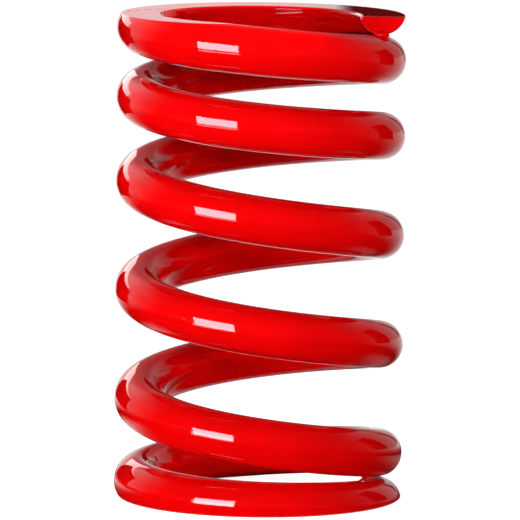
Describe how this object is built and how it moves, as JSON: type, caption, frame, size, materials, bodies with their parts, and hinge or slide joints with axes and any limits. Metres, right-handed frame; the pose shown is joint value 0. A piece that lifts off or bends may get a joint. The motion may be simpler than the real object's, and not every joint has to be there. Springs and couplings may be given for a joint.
{
  "type": "shock absorber spring",
  "caption": "Left-hand helical compression spring of thick round wire with progressive pitch and closed, flat-ground ends, coated in glossy red.",
  "frame": {"origin": "centre of the lower ground face's plane, on the coil axis", "axes": "+Z along the coil axis, from the lower ground face to the upper one; the picture looks along +Y, with +X to the right"},
  "size_m": [0.09, 0.09, 0.151],
  "materials": {
    "red_enamel": "gloss"
  },
  "bodies": {
    "root": {"coil_spring": "red_enamel"}
  },
  "joints": []
}
